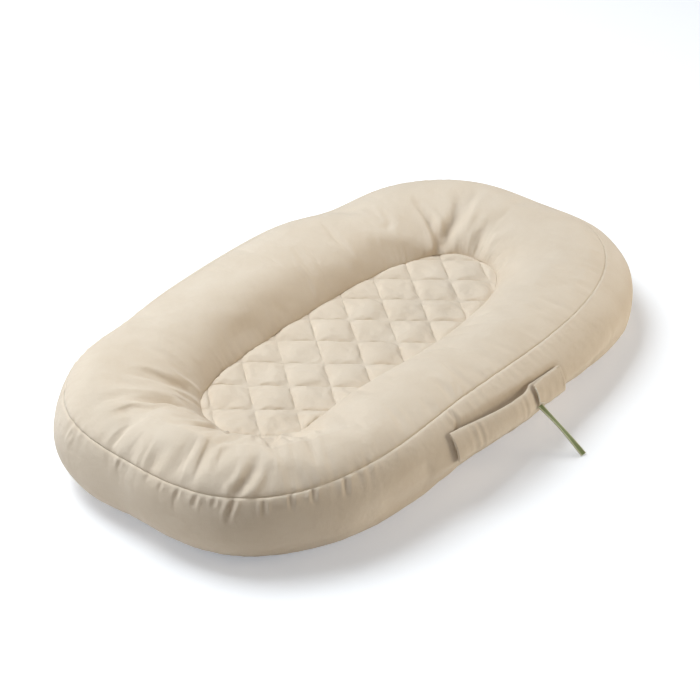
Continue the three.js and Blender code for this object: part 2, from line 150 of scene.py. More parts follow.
class Sections:
    """The bolster's cross-sections at normal angles. Loose ones follow the slack cloth."""

    def __init__(self, angle, loose=False):
        outer = outer_outline(angle)
        inner = nest_outline(angle)
        across = outer - inner
        self.centre = (outer + inner) / 2
        self.half = np.linalg.norm(across, axis=-1) / 2
        self.direction = across / (2 * self.half[..., None])
        along = self.centre[..., 0] / HALF_LENGTH
        self.height = CROWN_HEIGHT - HEAD_RISE * along
        self.equator = self.height * EQUATOR_SHARE
        self.inset = lerp(SEAM_INSET_HEAD, SEAM_INSET_SIDE, smoothstep(*SEAM_BLEND, along))
        slope = 1 - smoothstep(*SLOPE_BLEND, along)
        self.shift = HEAD_CROWN_SHIFT * slope
        self.exponent = lerp(CROWN_EXPONENT, HEAD_SLOPE_EXPONENT, slope)
        if loose:
            near = 1 - smoothstep(*CORNER_REACH, np.linalg.norm(inner - CORNER, axis=-1))
            self.exponent = lerp(self.exponent, CORNER_EXPONENT, near)
            side = smoothstep(-150, -40, inner[..., 0]) * smoothstep(20, -60, inner[..., 1])
            self.shift = self.shift - FULL_WALL_SHIFT * side

    def rise_roll(self, z, out=0.0, exponent=CROWN_EXPONENT):
        share = np.clip((z - self.equator) / (self.height - self.equator + out), 0, 1)
        return np.arcsin(share ** (exponent / 2))

    def drop_roll(self, z, out=0.0):
        share = np.clip((self.equator - z) / (self.equator + CONTACT_FLATTENING + out), 0, 1)
        return np.arcsin(share ** (UNDER_EXPONENT / 2))

    def points(self, roll, out=0.0):
        c, s = np.cos(roll), np.sin(roll)
        upper = np.where(c >= 0, CROWN_EXPONENT, self.exponent)
        exponent = np.where(s >= 0, upper, UNDER_EXPONENT)
        shift = np.where(s >= 0, self.shift, 0.0)
        widest = self.half + out - np.sign(c) * shift
        reach = shift + np.sign(c) * np.abs(c) ** (2 / exponent) * widest
        lift = np.abs(s) ** (2 / exponent)
        crown = self.equator + (self.height - self.equator + out) * lift
        under = self.equator - (self.equator + CONTACT_FLATTENING + out) * lift
        z = np.where(s >= 0, crown, np.maximum(under, 0.0))
        x = self.centre[..., 0] + self.direction[..., 0] * reach
        y = self.centre[..., 1] + self.direction[..., 1] * reach + SIDE_SHIFT
        return np.stack([x, y, z], -1)


def even_angles(count, head_density=1.0):
    """Normal angles at even distances round the ring, closer by a factor at the head end."""
    fine = np.linspace(0, 2 * math.pi, 40 * count + 1)
    middle = (outer_outline(fine) + nest_outline(fine)) / 2
    steps = np.linalg.norm(np.diff(middle, axis=0), axis=1)
    at_head = smoothstep(-130, -230, middle[1:, 0]) * smoothstep(110, 40, middle[1:, 1])
    steps = steps * lerp(1.0, head_density, at_head)
    travelled = np.concatenate([[0], np.cumsum(steps)])
    wanted = np.linspace(0, travelled[-1], count + 1)[:-1]
    return np.interp(wanted, travelled, fine)


class Ring:
    """The cover's sections at a set of angles, with the rolls of its seams."""

    def __init__(self, angles):
        self.angles = angles
        self.firm = firm = Sections(angles)
        self.loose = Sections(angles[:, None], loose=True)
        self.seam = inset_roll(firm.inset, firm.half - firm.shift, CROWN_EXPONENT)
        high = np.maximum(PAD_SEAM_HEIGHT, firm.equator)
        self.pad_seam = math.pi - firm.rise_roll(high, exponent=self.loose.exponent[:, 0])
        self.base_edge = math.pi + firm.drop_roll(BASE_CENTRE_HEIGHT)
        self.hem = 2 * math.pi - inset_roll(HEM_INSET, firm.half, UNDER_EXPONENT)

    def rows(self, start, end, count):
        """Points from one roll to another in each section, at even distances along the cloth."""
        roll = start[:, None] + (end - start)[:, None] * np.linspace(0, 1, ROLL_STEPS)
        travelled = distances(self.loose.points(roll))
        wanted = np.linspace(0, 1, count + 1)
        even = np.array([np.interp(wanted * t[-1], t, r) for t, r in zip(travelled, roll)])
        return self.loose.points(even)

    def cover(self):
        """The cover's rows from the hem to the outer seam and on to the pad's seam."""
        side = self.rows(self.hem - 2 * math.pi, self.seam, SIDE_ROWS)
        top = self.rows(self.seam, self.pad_seam, TOP_ROWS)
        p = np.concatenate([side, top[:, 1:]], axis=1)
        return p + drawn_in(p) - normals_of(p) * places_sum(p, DENTS)[..., None]


RING = Ring(even_angles(SECTIONS, HEAD_DENSITY))
CLOTH_RING = Ring(even_angles(CLOTH_SECTIONS))


def relief(points, height, size, seed, count=14):
    """Smooth noise, a sum of a count of waves, whose bumps are about a size across."""
    rng = np.random.default_rng(seed)
    total = np.zeros(points.shape[:-1])
    for _ in range(count):
        direction = rng.normal(size=3)
        direction /= np.linalg.norm(direction)
        length = size * rng.uniform(1.2, 2.8)
        phase = rng.uniform(0, 2 * math.pi)
        total += np.sin(points @ direction * (2 * math.pi / length) + phase)
    return height * (total / math.sqrt(count / 2))


def bell(distance, width):
    return np.exp(-(distance / width) ** 2)


def to_path(points, path):
    """Distance of each point to a path, and the share of the path at its nearest place."""
    path = np.asarray(path, float)
    before = distances(path)
    best = np.full(points.shape[:-1], np.inf)
    share = np.zeros(points.shape[:-1])
    for a, b, start, end in zip(path[:-1], path[1:], before[:-1], before[1:]):
        t = np.clip(((points - a) @ (b - a)) / (end - start) ** 2, 0, 1)
        distance = np.linalg.norm(points - a - t[..., None] * (b - a), axis=-1)
        nearer = distance < best
        best = np.where(nearer, distance, best)
        share = np.where(nearer, lerp(start, end, t) / before[-1], share)
    return best, share


# Creases of the cover: the width and depth of each, whether it starts at a seam, and its points
TOP_CREASES = [
    (5, 4.5, True, (198, 66, 55), (204, 78, 76), (216, 97, 88), (227, 129, 95)),
    (8, 4.6, True, (200, 65, 55), (212, 69, 73), (235, 72, 85), (265, 83, 92), (298, 90, 92)),
    (7, 3.6, True, (216, 26, 53), (228, 32, 73), (250, 34, 86), (263, 25, 90)),
    (5, 3, True, (206, -14, 56), (214, -13, 70), (226, -8, 76)),
    (5, 1.2, False, (30, 100, 56), (34, 136, 94), (44, 168, 101)),
    (5, 1.5, False, (92, 102, 60), (96, 142, 95), (116, 184, 98)),
    (5, 1.5, False, (154, 116, 88), (187, 128, 94)),
    (6, 3.5, True, (-205, 80, 57), (-211, 87, 69), (-228, 95, 84), (-243, 108, 97),
     (-276, 125, 112)),
    (7, 4.5, True, (-222, 14, 55), (-240, 25, 75), (-249, 40, 83), (-256, 60, 92), (-268, 68, 99),
     (-294, 84, 112), (-313, 100, 112)),
    (6, 3.5, True, (-222, 6, 56), (-252, 10, 86), (-281, 5, 104), (-298, 16, 111),
     (-308, 33, 113)),
    (5, 2.6, True, (-218, 2, 56), (-267, -27, 100), (-286, -29, 109), (-308, -29, 113),
     (-328, -31, 110)),
    (5.5, 3, True, (-214, -8, 56), (-240, -22, 82), (-261, -38, 99), (-284, -39, 109),
     (-303, -38, 113), (-329, -49, 108), (-349, -54, 91)),
    (6, 4, True, (-203, -32, 56), (-230, -50, 85), (-256, -81, 109), (-266, -94, 112),
     (-285, -110, 107)),
    (5.5, 3.2, True, (-324, -95, 95), (-311, -96, 103), (-296, -92, 109), (-278, -84, 112)),
    (5.5, 2.8, True, (-196, -45, 56), (-209, -77, 97), (-227, -100, 109), (-242, -119, 110),
     (-252, -128, 107)),
    (3, 0.8, False, (-134, -88, 104), (-128, -98, 106), (-122, -108, 106)),
    (3, 1, False, (-50, -147, 103), (-58, -158, 101), (-66, -166, 99)),
]
SIDE_CREASES = [
    (2.6, 2.2, True, (-354, 107, 84), (-356, 111, 74), (-357, 114, 66)),
    (2.2, 1.4, True, (-342, 133, 84), (-345, 135, 73)),
    (2.2, 1.4, True, (-360, 33, 90), (-364, 34, 80)),
    (2.2, 1.4, True, (-357, -5, 93), (-362, -3, 84)),
    (2.2, 1.6, True, (-357, -23, 92), (-363, -21, 80)),
    (2.4, 1.8, True, (-354, -43, 91), (-361, -41, 76)),
    (2.6, 2, True, (-349, -63, 90), (-356, -61, 75)),
    (2.2, 1.6, True, (-341, -79, 89), (-345, -80, 79)),
    (2.8, 2.8, True, (-332, -96, 88), (-339, -95, 76), (-342, -96, 64)),
    (2.4, 2, True, (-312, -118, 88), (-317, -123, 70)),
    (2.4, 2, True, (-290, -133, 91), (-294, -139, 75)),
    (2.6, 2, True, (-269, -144, 92), (-275, -150, 77)),
    (2.8, 2, True, (-236, -158, 93), (-245, -165, 73)),
    (2.2, 1.4, True, (-57, -166, 98), (-55, -176, 92), (-53, -186, 84)),
    (2.2, 1, True, (10, -170, 94), (14, -182, 87), (17, -190, 79)),
    (2.2, 0.9, True, (-14, -169, 95), (-6, -182, 88), (2, -190, 79)),
    (2.6, 3.6, True, (-88, -167, 98), (-86, -180, 90), (-91, -187, 82), (-94, -193, 73),
     (-97, -198, 60)),
    (2.6, 2.4, True, (30, -188, 80), (12, -189, 80), (-8, -188, 81), (-20, -187, 82)),
]

# Spare cloth: the middle and the reach of each place that has more, and the share of it
SPARE_PLACES = [
    ((-325, -70, 95), 110, 0.020),
    ((-230, 10, 75), 80, 0.030),
    ((215, 60, 75), 70, 0.024),
    ((-350, 60, 85), 90, 0.014),
    ((230, -150, 85), 90, 0.012),
    ((-80, -180, 85), 50, 0.018),
]
SPARE_EVERYWHERE = 0.005

# The near side is drawn in under the handle: places along it, and how far
WAIST_PLACES = (-240, -200, -160, -110, -75, -45, -15, 10, 40, 80, 120, 160, 200, 240)
WAIST_PULLS = (0, 4, 12, 20, 24, 25, 19, 14, 10, 11, 17, 14, 6, 0)

# Soft dents, and one swelling, of the bolster: the middle, the reach and the depth of each
DENTS = [
    ((-180, 212, 95), 60, 8.0),
    ((-90, 212, 95), 70, 4.0),
    ((168, 214, 85), 58, 10.0),
    ((320, 40, 78), 60, 4.5),
    ((-350, 15, 18), 60, 4.0),
    ((-348, 130, 60), 60, -5.5),
]


def drawn_in(p):
    """How far the cover lies inside the solids' outline, and which way."""
    x, y, z = p[..., 0], p[..., 1], p[..., 2]
    pull = np.interp(x, WAIST_PLACES, WAIST_PULLS) * (y < SIDE_SHIFT)
    pull = pull * smoothstep(-4, 6, z) * smoothstep(57, 32, z)
    return np.stack([0 * pull, pull * smoothstep(-80, -120, y), 0 * pull], -1)


def places_sum(points, places):
    """A sum of soft round places, each with its middle, its reach and its height there."""
    return sum(height * bell(np.linalg.norm(points - middle, axis=-1), reach)
               for middle, reach, height in places)


def fade_of(share, sewn):
    fade = smoothstep(0, 0.65, 1 - share)
    return fade if sewn else fade * smoothstep(0, 0.35, share)


def valley(r, beside, width):
    """A valley about 1 wide and deep, with raised cloth beside it of a height and a width."""
    return beside * bell(r - 1.9, width) - bell(r, 1)


def crease_shift(points, creases):
    """Valleys with raised cloth beside them, deepest at a sewn first point."""
    shift = np.zeros(points.shape[:-1])
    for width, depth, sewn, *path in creases:
        distance, share = to_path(points, path)
        form = valley(distance / width, beside=0.42, width=0.85)
        shift += depth * fade_of(share, sewn) * form
    return shift


def crease_hold(points, creases):
    """How firmly each point is held down in a crease, from 0 to 1."""
    hold = np.zeros(points.shape[:-1])
    for width, depth, sewn, *path in creases:
        distance, share = to_path(points, path)
        strength = min(depth / 3, 1) * fade_of(share, sewn)
        hold = np.maximum(hold, strength * bell(distance, 0.45 * width))
    return hold


def behind_handle(points):
    """1 where the handle lies over the cover, and 0 away from it."""
    x, z = points[..., 0], points[..., 2]
    over_top = z - handle_top(x)
    along = smoothstep(6, 16, x - HEAD_PATCH_START) * smoothstep(8, -4, x - FOOT_PATCH_END)
    up = smoothstep(-8, 2, over_top + HANDLE_WIDTH) * smoothstep(6, -2, over_top)
    return along * up * (points[..., 1] < SIDE_SHIFT)


def seam_gathers(points, from_seam, along, reach, height, seed, count=26):
    """Short gathers that run away from a seam, uneven along it: a sum of a count of waves."""
    rng = np.random.default_rng(seed)
    ripple = np.zeros_like(along)
    for _ in range(count):
        turns = rng.integers(60, 190)
        phase = rng.uniform(0, 2 * math.pi)
        ripple += np.sin(2 * math.pi * turns * along / along.max() + phase)
    uneven = np.clip(0.6 + relief(points, height=0.4, size=70, seed=seed + 1), 0.1, 1.4)
    return height * ripple / math.sqrt(count / 2) * uneven * np.exp(-from_seam / reach)


def normals_of(p):
    """Outward normals of a grid of points that closes round the ring."""
    n = np.cross(np.roll(p, -1, axis=0) - np.roll(p, 1, axis=0), np.gradient(p, axis=1))
    return n / (np.linalg.norm(n, axis=-1, keepdims=True) + 1e-12)


def grid_faces(n, m, closed_u, closed_v, flip=False):
    i = np.arange(n if closed_u else n - 1)
    j = np.arange(m if closed_v else m - 1)
    ii, jj = np.meshgrid(i, j, indexing="ij")
    ii, jj = ii.ravel(), jj.ravel()
    corners = [(ii, jj), (ii + 1, jj), (ii + 1, jj + 1), (ii, jj + 1)]
    if flip:
        corners = corners[::-1]
    return corners, np.stack([(a % n) * m + (b % m) for a, b in corners], -1)


def settle(name, vertices, faces, hold, spare):
    """Lets a sheet of cloth settle under the fibre's pressure. Held points stay where they are."""
    mesh = bpy.data.meshes.new(name)
    mesh.from_pydata((vertices * MM).tolist(), [], faces)
    mesh.update()
    obj = bpy.data.objects.new(name, mesh)
    scene = bpy.context.scene
    scene.collection.objects.link(obj)
    for group_name, weights in (("held", hold), ("tight", 1 - spare / SPARE_MOST)):
        group = obj.vertex_groups.new(name=group_name)
        levels = np.round(np.clip(weights, 0, 1) * WEIGHT_LEVELS).astype(int)
        for level in range(1, WEIGHT_LEVELS + 1):
            chosen = np.flatnonzero(levels == level)
            if len(chosen):
                group.add(chosen.tolist(), level / WEIGHT_LEVELS, "REPLACE")
    modifier = obj.modifiers.new("cloth", "CLOTH")
    for key, value in CLOTH_SETTINGS.items():
        setattr(modifier.settings, key, value)
    modifier.settings.effector_weights.gravity = 0.0
    modifier.collision_settings.use_collision = False
    modifier.collision_settings.use_self_collision = False
    modifier.point_cache.frame_start = 1
    modifier.point_cache.frame_end = FRAMES
    for number in range(1, FRAMES + 1):
        scene.frame_set(number)
    settled = obj.evaluated_get(bpy.context.evaluated_depsgraph_get()).to_mesh()
    moved = np.empty(len(settled.vertices) * 3, np.float32)
    settled.vertices.foreach_get("co", moved)
    bpy.data.objects.remove(obj)
    bpy.data.meshes.remove(mesh)
    scene.frame_set(1)
    return moved.reshape(-1, 3) / MM


def smoothed(field, passes, around=True):
    """A closed grid's field without its small ripples. Its first and last columns stay."""
    field = field.copy()
    for _ in range(passes):
        if around:
            field = (np.roll(field, 1, axis=0) + 2 * field + np.roll(field, -1, axis=0)) / 4
        field[:, 1:-1] = (field[:, :-2] + 2 * field[:, 1:-1] + field[:, 2:]) / 4
    return field


def capped(shift, most):
    length = np.linalg.norm(shift, axis=-1, keepdims=True)
    return shift * np.minimum(1, most / (length + 1e-9))


def make_object(name, vertices, faces, uvs=None):
    """A smooth object. Its UVs, in metres, are those of a plan of it unless it is given others."""
    vertices = np.asarray(vertices) * MM
    if uvs is None:
        uvs = vertices[np.concatenate(faces), :2]
    mesh = bpy.data.meshes.new(name)
    mesh.from_pydata(vertices.tolist(), [], faces)
    mesh.validate()
    mesh.polygons.foreach_set("use_smooth", [True] * len(mesh.polygons))
    layer = mesh.uv_layers.new(name="cloth")
    layer.data.foreach_set("uv", np.asarray(uvs, np.float32).ravel())
    mesh.update()
    obj = bpy.data.objects.new(name, mesh)
    bpy.context.scene.collection.objects.link(obj)
    return obj


def grid_object(name, p, closed_u=False, closed_v=False, flip=False):
    """Quads through a grid of points. Its UVs are distances along the cloth, in metres."""
    n, m = p.shape[:2]
    corners, faces = grid_faces(n, m, closed_u, closed_v, flip)
    steps_v = np.linalg.norm(np.diff(p, axis=1), axis=2).mean(axis=0)
    v = np.concatenate([[0], np.cumsum(steps_v), [steps_v.sum() + steps_v[-1]]])
    ring = np.concatenate([p, p[:1]]) if closed_u else p
    steps_u = np.linalg.norm(np.diff(ring, axis=0), axis=2).mean(axis=1)
    u = np.concatenate([[0], np.cumsum(steps_u), [0]])
    uvs = np.stack([np.stack([u[a], v[b]], -1) for a, b in corners], 1) * MM
    return make_object(name, p.reshape(-1, 3), faces.tolist(), uvs.reshape(-1, 2))


def shell(obj, thickness):
    """Gives a sheet of cloth its thickness, on the inside."""
    modifier = obj.modifiers.new("thickness", "SOLIDIFY")
    modifier.thickness = thickness * MM
    modifier.offset = -1
    return obj


class Tree:
    """The shader nodes of a material or of the world."""

    def __init__(self, owner):
        owner.use_nodes = True
        self.nodes, self.links = owner.node_tree.nodes, owner.node_tree.links

    def feed(self, node, inputs):
        """Gives a node's inputs, by name or number, their values or other nodes' outputs."""
        for key, value in inputs.items():
            if isinstance(value, bpy.types.NodeSocket):
                self.links.new(value, node.inputs[key])
            else:
                node.inputs[key].default_value = value
        return node

    def add(self, kind, inputs):
        return self.feed(self.nodes.new("ShaderNode" + kind), inputs)

    def math(self, operation, *values):
        node = self.add("Math", {})
        node.operation = operation
        return self.feed(node, dict(enumerate(values))).outputs[0]

    def place(self):
        return self.nodes.new("ShaderNodeTexCoord").outputs["Object"]

    def noise(self, vector, scale, detail=3.0, roughness=0.55):
        """Noise of a scale. One with three numbers is stretched by them."""
        if isinstance(scale, tuple):
            vector = self.add("Mapping", {"Scale": scale, "Vector": vector}).outputs["Vector"]
            scale = 1.0
        inputs = {"Scale": scale, "Detail": detail, "Roughness": roughness, "Vector": vector}
        return self.add("TexNoise", inputs).outputs["Fac"]

    def ramp(self, factor, ends, colours):
        node = self.add("ValToRGB", {"Fac": factor})
        for element, position, colour in zip(node.color_ramp.elements, ends, colours):
            element.position = position
            element.color = (*colour, 1)
        return node.outputs["Color"]

    def bumps(self, *layers):
        """A normal from layers of relief, each with its height, its distance and its strength."""
        normal = {}
        for height, distance, strength in layers:
            inputs = {"Height": height, "Distance": distance, "Strength": strength}
            node = self.add("Bump", inputs | normal)
            normal = {"Normal": node.outputs["Normal"]}
        return normal

    def weave(self, uv, pitch):
        """Height of a plain weave: warp and weft pass over each other in turn."""
        separate = self.add("SeparateXYZ", {0: uv})
        turns = 2 * math.pi / pitch
        across, along = (self.math("SINE", self.math("MULTIPLY", separate.outputs[axis], turns))
                         for axis in range(2))
        return self.math("MULTIPLY", across, along)

    def camera_rays(self):
        paths = self.add("LightPath", {}).outputs
        seen = self.math("MAXIMUM", paths["Is Camera Ray"], paths["Is Glossy Ray"])
        return self.math("MAXIMUM", seen, paths["Is Transmission Ray"])


def new_material(name):
    material = bpy.data.materials.new(name)
    tree = Tree(material)
    return material, tree, tree.nodes["Principled BSDF"]


# Scales of the cloth's slubs, by the metre, along a thread and across it
SLUBS, SLUBS_ACROSS = (120, 1400, 1), (1400, 120, 1)


def cloth_material(name, dark, light, pitch, creases=0.05):
    """Woven cloth: threads, slubs, soft mottling and fine creases."""
    material, tree, shader = new_material(name)
    uv_map = tree.add("UVMap", {})
    uv_map.uv_map = "cloth"
    uv, place = uv_map.outputs["UV"], tree.place()
    slubs = tree.math("ADD", tree.noise(uv, SLUBS, 2), tree.noise(uv, SLUBS_ACROSS, 2))
    threads = tree.math("MULTIPLY", slubs, 0.5)
    mottle = tree.math("MULTIPLY", tree.noise(place, 22, 3), 0.55)
    tone = tree.math("ADD", mottle, tree.math("MULTIPLY", threads, 0.45))
    normal = tree.bumps((tree.noise(place, 95, 4, 0.5), 0.004, creases),
                        (threads, 0.0006, 0.35),
                        (tree.weave(uv, pitch), 0.00012, 0.5))
    tree.feed(shader, normal | {
        "Base Color": tree.ramp(tone, (0.3, 0.7), (dark, light)),
        "Roughness": 0.92,
        "Specular IOR Level": 0.2,
        "Sheen Weight": 0.25,
        "Sheen Roughness": 0.45,
    })
    return material


def metal_material(name, dark, light):
    """Brushed metal, a little worn."""
    material, tree, shader = new_material(name)
    place = tree.place()
    worn = tree.noise(place, 260, 4)
    tree.feed(shader, tree.bumps((tree.noise(place, (900, 900, 4000), 3), 0.0001, 0.3)) | {
        "Base Color": tree.ramp(worn, (0.35, 0.6), (dark, light)),
        "Metallic": 1.0,
        "Roughness": tree.math("MULTIPLY_ADD", worn, 0.25, 0.5),
    })
    return material


def nylon_material(name, dark, light):
    material, tree, shader = new_material(name)
    fine = tree.noise(tree.place(), 700, 3)
    tree.feed(shader, tree.bumps((fine, 0.0001, 0.3)) | {
        "Base Color": tree.ramp(fine, (0.35, 0.65), (dark, light)),
        "Roughness": 0.45,
    })
    return material


# Cloths: the darker and the lighter colour, the weave's pitch and how creased it is
CREAM = (0.730, 0.610, 0.470), (0.800, 0.690, 0.555)
cover_cotton = cloth_material("cover_cotton", *CREAM, 0.0009, 0.22)
pad_cotton = cloth_material("pad_cotton", *CREAM, 0.0009, 0.3)
# The hem's cloth is paler than the cover's: a painted highlight of the patch's lit folded edge
hem_painted_highlight = cloth_material("hem_painted_highlight", (0.82, 0.75, 0.64), (0.88, 0.82, 0.72), 0.0005)
thread_cotton = cloth_material("thread_cotton", (0.72, 0.61, 0.48), (0.82, 0.72, 0.59), 0.0004)
tape_cloth = cloth_material("tape_cloth", (0.62, 0.55, 0.44), (0.70, 0.63, 0.52), 0.0007)
ribbon_green = cloth_material("ribbon_green", (0.20, 0.25, 0.10), (0.28, 0.33, 0.15), 0.0006)
ribbon_pale = cloth_material("ribbon_pale", (0.62, 0.64, 0.42), (0.72, 0.74, 0.54), 0.0006)
zip_nylon = nylon_material("zip_nylon", (0.60, 0.53, 0.43), (0.70, 0.63, 0.52))
zip_metal = metal_material("zip_metal", (0.48, 0.48, 0.48), (0.60, 0.60, 0.60))


def finish(obj, material, slot, *nodes, body="lounger"):
    obj.data.materials.append(material)
    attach(obj, body)
    if nodes:
        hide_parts(*nodes)
    return obj


def stitches(name, lines, out, pitch=3.6, length=2.7, radius=0.32):
    """Thread stitches laid along lines of points: short bars that taper to both sunken ends."""
    round_bar = [(share, radius * c, radius * s + 0.15)
                 for share in (0.2, 0.8) for c, s in ((1, 0), (0, 1), (-1, 0), (0, -1))]
    bar = np.array([(0, 0, -0.2), *round_bar, (1, 0, -0.2)])
    bar_faces = []
    for a, b in ((1, 2), (2, 3), (3, 4), (4, 1)):
        bar_faces += [(0, b, a), (a, b, b + 4, a + 4), (a + 4, b + 4, 9)]
    vertices, faces = [], []
    for line in lines:
        travelled = distances(line)
        for start in np.arange(pitch / 2, travelled[-1] - length, pitch):
            first, last = (np.array([np.interp(d, travelled, axis) for axis in line.T])
                           for d in (start, start + length))
            axes = np.stack([last - first, unit(np.cross(last - first, out)), out])
            faces += [[len(vertices) + k for k in face] for face in bar_faces]
            vertices += list(first + bar @ axes)
    obj = make_object(name, vertices, faces)
    return finish(obj, thread_cotton, "cover")


def tucked(p, n):
    """Turns the cloth in at both edges, as seam allowances."""
    first = [p[:, :1] - n[:, :1] * depth for depth in (5.0, 2.0)]
    last = [p[:, -1:] - n[:, -1:] * depth for depth in (2.0, 5.0)]
    return np.concatenate([*first, p, *last], axis=1)


def groove(distance, depth, width):
    return -depth * np.exp(-distance / width)


def run_along(p):
    """Distance of each row from a grid's first column, and from its last."""
    travelled = distances(p)
    return travelled, travelled[:, -1:] - travelled


def ring_distance(p):
    """Distance round the ring, from 0 to 1000, the same for all the rows of a section."""
    row = p[:, 0]
    travelled = distances(np.concatenate([row, row[:1]]))
    return np.repeat((travelled[:-1] / travelled[-1] * 1000)[:, None], p.shape[1], axis=1)


# The cover between the hem and the pad's seam: how far a settled point may go, and its ripples,
# which grow by a gain, and how many passes tell them from the swelling and make folds of them
SWELL_MOST, RIPPLE_MOST, RIPPLE_GAIN = 3.2, 2.8, 1.5
RIPPLE_PASSES, FOLD_PASSES = 60, 24
SIDE_SPARE_SHARE = 0.12

# How far the cover gives way behind the handle, and how firmly it is held there
HANDLE_DIP, HANDLE_HOLD = 3.0, 0.9

COVER_THICKNESS = 1.4


class CoverPlaces:
    """Distances on the cover's grid from the hem, the pad's seam and the outer seam."""

    def __init__(self, p):
        self.from_hem, self.from_pad = run_along(p)
        seam_row = self.from_hem[:, SIDE_ROWS][:, None]
        self.from_seam = np.abs(self.from_hem - seam_row)
        self.on_side = self.from_hem < seam_row
        self.edge = np.minimum(np.minimum(self.from_hem, self.from_pad), self.from_seam)
        self.slack = SLACK * smoothstep(0, 30, self.edge)

    def of_creases(self, measure, p):
        return np.where(self.on_side, measure(p, SIDE_CREASES), measure(p, TOP_CREASES))

    def creases(self, p):
        shift = self.of_creases(crease_shift, p) * smoothstep(-2, 14, self.from_pad)
        return shift * smoothstep(-1, 4, self.from_seam) * smoothstep(0, 12, self.from_hem)


def settled_shift():
    """How the cover's cloth moves as it settles under the fibre's pressure."""
    p = CLOTH_RING.cover()
    places = CoverPlaces(p)
    hold = places.of_creases(crease_hold, p)
    hold[:, [0, SIDE_ROWS, -1]] = 1.0
    hold = np.maximum(hold, 1 - smoothstep(0, 3, p[..., 2]))
    hold = np.maximum(hold, HANDLE_HOLD * behind_handle(p))
    spare = SPARE_EVERYWHERE + places_sum(p, SPARE_PLACES)
    spare *= np.where(places.on_side, SIDE_SPARE_SHARE, 1.0)
    start = p + normals_of(p) * (places.creases(p) - places.slack)[..., None]
    faces = grid_faces(len(p), p.shape[1], True, False)[1].tolist()
    moved = settle("cover_cloth", start.reshape(-1, 3), faces, hold.ravel(), spare.ravel())
    moved = moved.reshape(p.shape) - start
    swell = smoothed(moved, RIPPLE_PASSES)
    folds = smoothed(moved - swell, FOLD_PASSES, around=False)
    return capped(swell, SWELL_MOST) + capped(RIPPLE_GAIN * folds, RIPPLE_MOST)


def round_the_ring(field):
    """A field of the cloth's ring, read at the sections of the finer ring."""
    known = np.concatenate([CLOTH_RING.angles, [2 * math.pi]])
    closed = np.concatenate([field, field[:1]]).reshape(len(known), -1)
    wide = np.stack([np.interp(RING.angles, known, column) for column in closed.T], -1)
    return wide.reshape(len(RING.angles), *field.shape[1:])


def hem_shift(p, from_hem, around):
    gathers = seam_gathers(p, from_hem, around, reach=12, height=0.4, seed=14)
    return gathers * smoothstep(-1, 6, p[..., 2]) + groove(from_hem, depth=1.2, width=3)


def cover_points():
    """The settled cover, its rows from the hem to the outer seam and on to the pad's seam."""
    p = RING.cover()
    n = normals_of(p)
    places = CoverPlaces(p)
    around = ring_distance(p)
    shift = places.creases(p) + hem_shift(p, places.from_hem, around)
    shift += relief(p, height=0.9, size=60, seed=3) * smoothstep(0, 40, places.edge)
    head = smoothstep(60, -120, p[..., 0] + 0.6 * (p[..., 1] - SIDE_SHIFT))
    gathers = seam_gathers(p, places.from_seam, around, reach=9, height=0.3, seed=11)
    shift += gathers * lerp(0.5, 2.0, head) * np.where(places.on_side, 1.0, 0.6)
    shift += groove(places.from_seam, depth=1, width=2) * lerp(0.12, 1.02, head)
    gathers = seam_gathers(p, places.from_pad, around, reach=14, height=0.6, seed=12)
    shift += gathers * smoothstep(-2, 8, places.from_pad)
    shift += groove(places.from_pad, depth=0.6, width=4) - places.slack
    dip = np.minimum(shift + SLACK, 0) - HANDLE_DIP
    p = p + n * lerp(shift, dip, behind_handle(p))[..., None]
    p = p + round_the_ring(settled_shift())
    p[..., 2] = np.maximum(p[..., 2], 0.1)
    return p


def cover_panel(name, p, n, *nodes):
    piece = grid_object(name, tucked(p, n), closed_u=True)
    return finish(shell(piece, COVER_THICKNESS), cover_cotton, "cover", *nodes)


def bolster_pieces():
    p = cover_points()
    n = normals_of(p)
    side, top = slice(0, SIDE_ROWS + 1), slice(SIDE_ROWS, None)
    piece = cover_panel("bolster_top", p[:, top], n[:, top],
                        "cover_top_panel", "liner_top", "fibre_fill_ring")
    piece = cover_panel("bolster_side", p[:, side], n[:, side], "cover_side_panel", "liner_bottom")

    p = RING.rows(RING.base_edge, RING.hem, BASE_ROWS)
    n = normals_of(p)
    from_edge, from_hem = run_along(p)
    around = ring_distance(p)
    gathers = seam_gathers(p, from_edge, around, reach=16, height=0.7, seed=16)
    shift = hem_shift(p, from_hem, around) + gathers * smoothstep(-2, 8, from_edge)
    p = p + n * shift[..., None] + drawn_in(p) * smoothstep(60, 0, from_hem)[..., None]
    p[..., 2] = np.maximum(p[..., 2], 0.05)
    piece = cover_panel("base_ring", p, n, "cover_base_ring")


NEST_MIDDLE = np.array([NEST_SHIFT_X, SIDE_SHIFT])


def pad_outline(margin):
    out = RING.loose.points(RING.pad_seam[:, None])[:, 0, :2] - NEST_MIDDLE
    length = np.linalg.norm(out, axis=1, keepdims=True)
    return NEST_MIDDLE + out * (length + margin) / length


def inside(points, outline):
    """Whether plan points lie inside an outline that every ray from its middle crosses once."""
    (angle, length), (rim_angle, rim_length) = (
        (np.arctan2(d[..., 1], d[..., 0]), np.linalg.norm(d, axis=-1))
        for d in (points - NEST_MIDDLE, outline - NEST_MIDDLE))
    return length < np.interp(angle, rim_angle, rim_length, period=2 * math.pi)


def rim_distance(plan):
    """How far inside the pad's seam each plan point lies."""
    outline = pad_outline(0.0)
    tree = KDTree(len(outline))
    for number, place in enumerate(outline.tolist()):
        tree.insert((*place, 0), number)
    tree.balance()
    distance = np.array([tree.find((*place, 0))[2] for place in plan.tolist()])
    return np.where(inside(plan, outline), distance, -distance)


